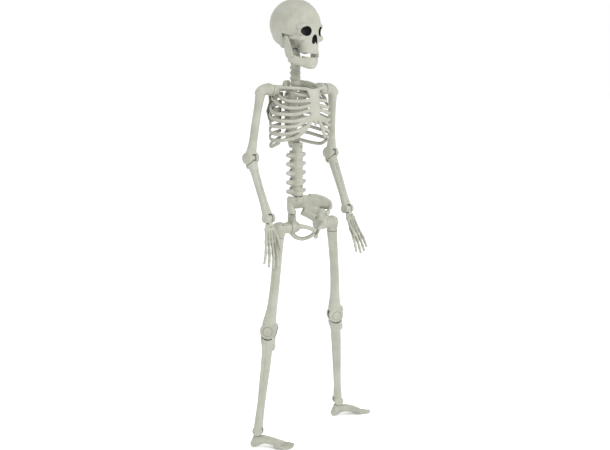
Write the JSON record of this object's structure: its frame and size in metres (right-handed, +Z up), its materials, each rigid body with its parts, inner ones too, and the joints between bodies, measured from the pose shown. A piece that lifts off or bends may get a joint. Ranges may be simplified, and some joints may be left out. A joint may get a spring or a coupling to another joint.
{
  "type": "poseable skeleton figure",
  "caption": "Standing poseable human skeleton decoration of moulded plastic bones, hinged at jaw, neck, waist, shoulders, elbows, wrists, hips, knees and ankles.",
  "frame": {"origin": "centre of the overall box, on the floor under the feet", "axes": "+Z up, the figure faces -Y, its right side towards -X"},
  "size_m": [0.374, 0.1576, 0.9275],
  "materials": {
    "bone": "satin moulded, grey-green bone colour",
    "skull": "satin moulded, bone colour with black painted eye sockets",
    "pin": "plain steel"
  },
  "bodies": {
    "torso": {"rib_cage_front": "bone", "rib_cage_back": "bone", "spine_front": "bone", "spine_back": "bone", "spine_screws": "pin", "neck": "bone", "left_shoulder_axle": "pin", "right_shoulder_axle": "pin"},
    "head": {"skull_front": "skull", "skull_back": "skull", "hanging_loop": "skull", "jaw_pins": "pin"},
    "jaw": {"jaw": "skull"},
    "pelvis": {"pelvis_front": "bone", "pelvis_back": "bone", "waist_pin": "pin", "left_hip_axle": "pin", "right_hip_axle": "pin"},
    "right_upper_arm": {"right_upper_arm_front": "bone", "right_upper_arm_back": "bone", "right_elbow_pin": "pin"},
    "right_forearm": {"right_forearm_front": "bone", "right_forearm_back": "bone", "right_wrist_pin": "pin"},
    "right_hand": {"right_hand": "bone"},
    "right_hip": {"right_hip_neck": "bone"},
    "right_thigh": {"right_thigh_front": "bone", "right_thigh_back": "bone", "right_knee_pin": "pin"},
    "right_shin": {"right_shin_front": "bone", "right_shin_back": "bone", "right_ankle_pin": "pin"},
    "right_foot": {"right_foot": "bone"},
    "left_upper_arm": {"left_upper_arm_front": "bone", "left_upper_arm_back": "bone", "left_elbow_pin": "pin"},
    "left_forearm": {"left_forearm_front": "bone", "left_forearm_back": "bone", "left_wrist_pin": "pin"},
    "left_hand": {"left_hand": "bone"},
    "left_hip": {"left_hip_neck": "bone"},
    "left_thigh": {"left_thigh_front": "bone", "left_thigh_back": "bone", "left_knee_pin": "pin"},
    "left_shin": {"left_shin_front": "bone", "left_shin_back": "bone", "left_ankle_pin": "pin"},
    "left_foot": {"left_foot": "bone"}
  },
  "joints": [
    {"name": "head_turn", "type": "hinge", "parent": "torso", "child": "head", "pos_m": [-0.02687, 0.01826, 0.8143], "axis": [0, 0, 1], "range_deg": [-70, 70]},
    {"name": "jaw_open", "type": "hinge", "parent": "head", "child": "jaw", "pos_m": [-0.02687, 0.00726, 0.8323], "axis": [1, 0, 0], "range_deg": [-3, 16]},
    {"name": "waist_turn", "type": "hinge", "parent": "torso", "child": "pelvis", "pos_m": [-0.02687, 0.01326, 0.5063], "axis": [0, 0, 1], "range_deg": [-40, 40]},
    {"name": "right_shoulder_swing", "type": "hinge", "parent": "torso", "child": "right_upper_arm", "pos_m": [-0.13527, 0.01126, 0.7283], "axis": [-1, 0, 0], "range_deg": [-50, 150]},
    {"name": "right_elbow_bend", "type": "hinge", "parent": "right_upper_arm", "child": "right_forearm", "pos_m": [-0.14927, 0.02832, 0.59135], "axis": [-1, 0, 0], "range_deg": [-25, 60]},
    {"name": "right_wrist_bend", "type": "hinge", "parent": "right_forearm", "child": "right_hand", "pos_m": [-0.14827, -0.02084, 0.47209], "axis": [-1, 0, 0], "range_deg": [-30, 30]},
    {"name": "right_hip_swing", "type": "hinge", "parent": "pelvis", "child": "right_hip", "pos_m": [-0.10727, -0.01274, 0.4463], "axis": [-1, 0, 0], "range_deg": [-25, 80]},
    {"name": "right_thigh_turn", "type": "hinge", "parent": "right_hip", "child": "right_thigh", "pos_m": [-0.10727, -0.01274, 0.4463], "axis": [-0.1495, 0.0086, -0.9887], "range_deg": [-10, 60]},
    {"name": "right_knee_bend", "type": "hinge", "parent": "right_thigh", "child": "right_shin", "pos_m": [-0.13897, -0.01091, 0.23669], "axis": [0.8385, 0.531, -0.1222], "range_deg": [0, 70]},
    {"name": "right_ankle_bend", "type": "hinge", "parent": "right_shin", "child": "right_foot", "pos_m": [-0.16962, -0.00914, 0.034], "axis": [0.8385, 0.531, -0.1222], "range_deg": [-15, 20]},
    {"name": "left_shoulder_swing", "type": "hinge", "parent": "torso", "child": "left_upper_arm", "pos_m": [0.08153, 0.01126, 0.7283], "axis": [-1, 0, 0], "range_deg": [-50, 150]},
    {"name": "left_elbow_bend", "type": "hinge", "parent": "left_upper_arm", "child": "left_forearm", "pos_m": [0.09553, 0.02832, 0.59135], "axis": [-1, 0, 0], "range_deg": [-25, 60]},
    {"name": "left_wrist_bend", "type": "hinge", "parent": "left_forearm", "child": "left_hand", "pos_m": [0.09453, -0.02084, 0.47209], "axis": [-1, 0, 0], "range_deg": [-30, 30]},
    {"name": "left_hip_swing", "type": "hinge", "parent": "pelvis", "child": "left_hip", "pos_m": [0.05353, -0.01274, 0.4463], "axis": [-1, 0, 0], "range_deg": [-25, 80]},
    {"name": "left_thigh_turn", "type": "hinge", "parent": "left_hip", "child": "left_thigh", "pos_m": [0.05353, -0.01274, 0.4463], "axis": [0.1495, 0.0862, -0.985], "range_deg": [-10, 75]},
    {"name": "left_knee_bend", "type": "hinge", "parent": "left_thigh", "child": "left_shin", "pos_m": [0.08523, 0.00553, 0.23748], "axis": [0.4642, 0.8735, 0.1469], "range_deg": [0, 70]},
    {"name": "left_ankle_bend", "type": "hinge", "parent": "left_shin", "child": "left_foot", "pos_m": [0.11589, 0.0232, 0.03555], "axis": [0.4642, 0.8735, 0.1469], "range_deg": [-15, 20]}
  ]
}
